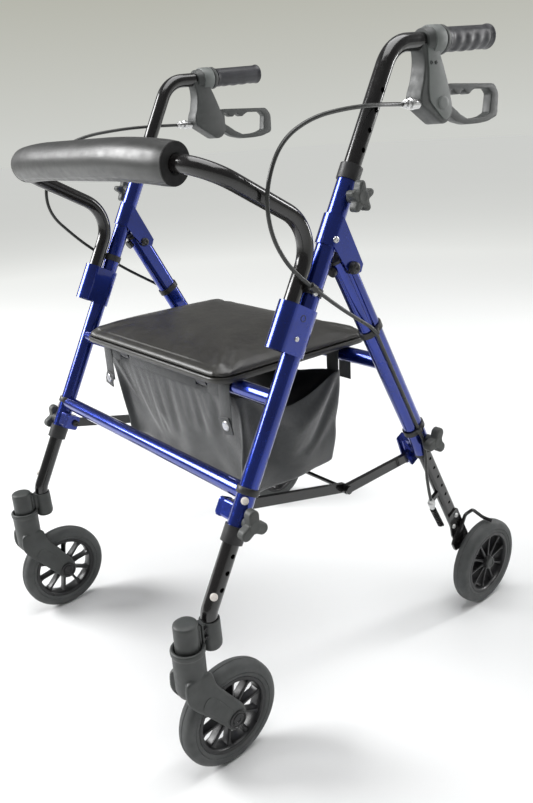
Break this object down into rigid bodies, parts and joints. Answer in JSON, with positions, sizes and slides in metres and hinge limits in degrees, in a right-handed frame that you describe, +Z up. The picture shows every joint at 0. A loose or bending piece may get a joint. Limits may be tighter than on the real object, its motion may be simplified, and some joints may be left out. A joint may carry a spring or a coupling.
{
  "type": "rollator walker",
  "caption": "Folding wheeled walker with padded seat, curved backrest, storage bag, height-adjustable handles and hand brakes.",
  "frame": {"origin": "on the floor, midway between the wheels, front to back and side to side", "axes": "+Z up; -Y to the casters and the backrest; +Y to the hand grips; +X to the left of the user who walks behind it"},
  "size_m": [0.5802, 0.692, 0.9209],
  "materials": {
    "blue_paint": "deep metallic blue gloss",
    "black_paint": "gloss black powder coat",
    "bolt_steel": "zinc-plated steel",
    "dark_plastic": "satin black moulding",
    "grey_plastic": "dark grey textured moulding",
    "knob_plastic": "dark grey moulding",
    "wheel_plastic": "black moulding",
    "tyre_rubber": "dark grey solid tyre",
    "grip_rubber": "ribbed black grip",
    "seat_vinyl": "grained black vinyl",
    "backrest_vinyl": "smooth black vinyl over foam",
    "bag_fabric": "woven black nylon",
    "cable_jacket": "grey-black cable housing"
  },
  "bodies": {
    "front_frame": {"front_leg_left": "blue_paint", "front_leg_right": "blue_paint", "lower_crossbar": "blue_paint", "seat_front_crossbar": "blue_paint", "pivot_gussets": "blue_paint", "backrest_sockets": "blue_paint", "front_leg_bushings": "dark_plastic", "front_link_brackets": "blue_paint", "front_frame_fasteners": "bolt_steel", "front_cable_clips": "dark_plastic", "storage_bag": "bag_fabric", "bag_straps": "bag_fabric", "brake_cable_left": "cable_jacket", "brake_cable_right": "cable_jacket"},
    "rear_frame": {"rear_leg_left": "blue_paint", "rear_leg_right": "blue_paint", "seat_rear_crossbar": "blue_paint", "rear_leg_bushings": "dark_plastic", "rear_link_brackets": "blue_paint", "rear_cable_clips": "dark_plastic"},
    "front_links": {"front_side_links": "black_paint", "link_cross_rod": "black_paint"},
    "rear_links": {"rear_side_links": "black_paint"},
    "seat": {"seat_pad": "seat_vinyl", "seat_board": "dark_plastic", "seat_hinge_clips": "dark_plastic"},
    "backrest": {"backrest_tube": "black_paint", "backrest_pad": "backrest_vinyl"},
    "handle_left": {"handle_tube_left": "black_paint", "hand_grip_left": "grip_rubber", "brake_housing_left": "grey_plastic"},
    "lever_left": {"brake_lever_left": "grey_plastic"},
    "handle_knob_left": {"handle_knob_left": "knob_plastic"},
    "front_knob_left": {"front_leg_knob_left": "knob_plastic"},
    "rear_knob_left": {"rear_leg_knob_left": "knob_plastic"},
    "front_extension_left": {"front_leg_extension_left": "black_paint", "caster_housing_left": "grey_plastic"},
    "caster_left": {"caster_fork_left": "grey_plastic"},
    "front_wheel_left": {"front_wheel_left": "wheel_plastic", "front_tyre_left": "tyre_rubber"},
    "rear_extension_left": {"rear_leg_extension_left": "black_paint"},
    "rear_wheel_left": {"rear_wheel_left": "wheel_plastic", "rear_tyre_left": "tyre_rubber"},
    "brake_left": {"brake_arm_left": "black_paint"},
    "handle_right": {"handle_tube_right": "black_paint", "hand_grip_right": "grip_rubber", "brake_housing_right": "grey_plastic"},
    "lever_right": {"brake_lever_right": "grey_plastic"},
    "handle_knob_right": {"handle_knob_right": "knob_plastic"},
    "front_knob_right": {"front_leg_knob_right": "knob_plastic"},
    "rear_knob_right": {"rear_leg_knob_right": "knob_plastic"},
    "front_extension_right": {"front_leg_extension_right": "black_paint", "caster_housing_right": "grey_plastic"},
    "caster_right": {"caster_fork_right": "grey_plastic"},
    "front_wheel_right": {"front_wheel_right": "wheel_plastic", "front_tyre_right": "tyre_rubber"},
    "rear_extension_right": {"rear_leg_extension_right": "black_paint"},
    "rear_wheel_right": {"rear_wheel_right": "wheel_plastic", "rear_tyre_right": "tyre_rubber"},
    "brake_right": {"brake_arm_right": "black_paint"}
  },
  "joints": [
    {"name": "fold", "type": "hinge", "parent": "front_frame", "child": "rear_frame", "pos_m": [0, -0.032, 0.631], "axis": [-1, 0, 0], "range_deg": [0, 40], "deforming": ["storage_bag", "bag_straps", "brake_cable_left", "brake_cable_right"]},
    {"name": "front_link_fold", "type": "hinge", "parent": "front_frame", "child": "front_links", "pos_m": [0, -0.22083, 0.3502], "axis": [1, 0, 0], "range_deg": [0, 21.04]},
    {"name": "rear_link_fold", "type": "hinge", "parent": "rear_frame", "child": "rear_links", "pos_m": [0, 0.12797, 0.30819], "axis": [-1, 0, 0], "range_deg": [0, 100.64]},
    {"name": "seat_flip", "type": "hinge", "parent": "front_frame", "child": "seat", "pos_m": [0, -0.15625, 0.485], "axis": [1, 0, 0], "range_deg": [0, 80]},
    {"name": "backrest_lift", "type": "slide", "parent": "front_frame", "child": "backrest", "axis": [0, 0.4679, 0.8838], "range_m": [0, 0.06]},
    {"name": "handle_height_left", "type": "slide", "parent": "front_frame", "child": "handle_left", "axis": [0, 0.4679, 0.8838], "range_m": [-0.075, 0.05]},
    {"name": "lever_squeeze_left", "type": "hinge", "parent": "handle_left", "child": "lever_left", "pos_m": [0.25, 0.149, 0.816], "axis": [1, 0, 0], "range_deg": [0, 18], "stiffness_Nm_per_rad": 1},
    {"name": "handle_knob_turn_left", "type": "hinge", "parent": "front_frame", "child": "handle_knob_left", "pos_m": [0.27, -0.03335, 0.71712], "axis": [1, 0, 0], "continuous": true},
    {"name": "front_height_left", "type": "slide", "parent": "front_frame", "child": "front_extension_left", "axis": [0, 0.4679, 0.8838], "range_m": [-0.05, 0.05]},
    {"name": "front_knob_turn_left", "type": "hinge", "parent": "front_frame", "child": "front_knob_left", "pos_m": [0.27, -0.22848, 0.34859], "axis": [1, 0, 0], "continuous": true},
    {"name": "caster_swivel_left", "type": "hinge", "parent": "front_extension_left", "child": "caster_left", "pos_m": [0.25, -0.322, 0.2], "axis": [0, 0, 1], "continuous": true},
    {"name": "front_wheel_spin_left", "type": "hinge", "parent": "caster_left", "child": "front_wheel_left", "pos_m": [0.25, -0.271, 0.075], "axis": [1, 0, 0], "continuous": true},
    {"name": "rear_height_left", "type": "slide", "parent": "rear_frame", "child": "rear_extension_left", "axis": [0, -0.4785, 0.8781], "range_m": [-0.05, 0.05]},
    {"name": "rear_knob_turn_left", "type": "hinge", "parent": "rear_frame", "child": "rear_knob_left", "pos_m": [0.27, 0.13118, 0.34411], "axis": [1, 0, 0], "continuous": true},
    {"name": "rear_wheel_spin_left", "type": "hinge", "parent": "rear_extension_left", "child": "rear_wheel_left", "pos_m": [0.277, 0.271, 0.075], "axis": [1, 0, 0], "continuous": true},
    {"name": "brake_press_left", "type": "hinge", "parent": "rear_extension_left", "child": "brake_left", "pos_m": [0.258, 0.22392, 0.12587], "axis": [-1, 0, 0], "range_deg": [0, 3]},
    {"name": "handle_height_right", "type": "slide", "parent": "front_frame", "child": "handle_right", "axis": [0, 0.4679, 0.8838], "range_m": [-0.075, 0.05]},
    {"name": "lever_squeeze_right", "type": "hinge", "parent": "handle_right", "child": "lever_right", "pos_m": [-0.25, 0.149, 0.816], "axis": [1, 0, 0], "range_deg": [0, 18], "stiffness_Nm_per_rad": 1},
    {"name": "handle_knob_turn_right", "type": "hinge", "parent": "front_frame", "child": "handle_knob_right", "pos_m": [-0.27, -0.03335, 0.71712], "axis": [1, 0, 0], "continuous": true},
    {"name": "front_height_right", "type": "slide", "parent": "front_frame", "child": "front_extension_right", "axis": [0, 0.4679, 0.8838], "range_m": [-0.05, 0.05]},
    {"name": "front_knob_turn_right", "type": "hinge", "parent": "front_frame", "child": "front_knob_right", "pos_m": [-0.27, -0.22848, 0.34859], "axis": [1, 0, 0], "continuous": true},
    {"name": "caster_swivel_right", "type": "hinge", "parent": "front_extension_right", "child": "caster_right", "pos_m": [-0.25, -0.322, 0.2], "axis": [0, 0, 1], "continuous": true},
    {"name": "front_wheel_spin_right", "type": "hinge", "parent": "caster_right", "child": "front_wheel_right", "pos_m": [-0.25, -0.271, 0.075], "axis": [1, 0, 0], "continuous": true},
    {"name": "rear_height_right", "type": "slide", "parent": "rear_frame", "child": "rear_extension_right", "axis": [0, -0.4785, 0.8781], "range_m": [-0.05, 0.05]},
    {"name": "rear_knob_turn_right", "type": "hinge", "parent": "rear_frame", "child": "rear_knob_right", "pos_m": [-0.27, 0.13118, 0.34411], "axis": [1, 0, 0], "continuous": true},
    {"name": "rear_wheel_spin_right", "type": "hinge", "parent": "rear_extension_right", "child": "rear_wheel_right", "pos_m": [-0.277, 0.271, 0.075], "axis": [1, 0, 0], "continuous": true},
    {"name": "brake_press_right", "type": "hinge", "parent": "rear_extension_right", "child": "brake_right", "pos_m": [-0.258, 0.22392, 0.12587], "axis": [-1, 0, 0], "range_deg": [0, 3]}
  ],
  "couplings": [
    {"joint": "front_link_fold", "follows": "fold", "ratio": 0.51347},
    {"joint": "rear_link_fold", "follows": "fold", "ratio": 2.5034},
    {"joint": "brake_press_left", "follows": "lever_squeeze_left", "ratio": 0.16667},
    {"joint": "brake_press_right", "follows": "lever_squeeze_right", "ratio": 0.16667}
  ]
}
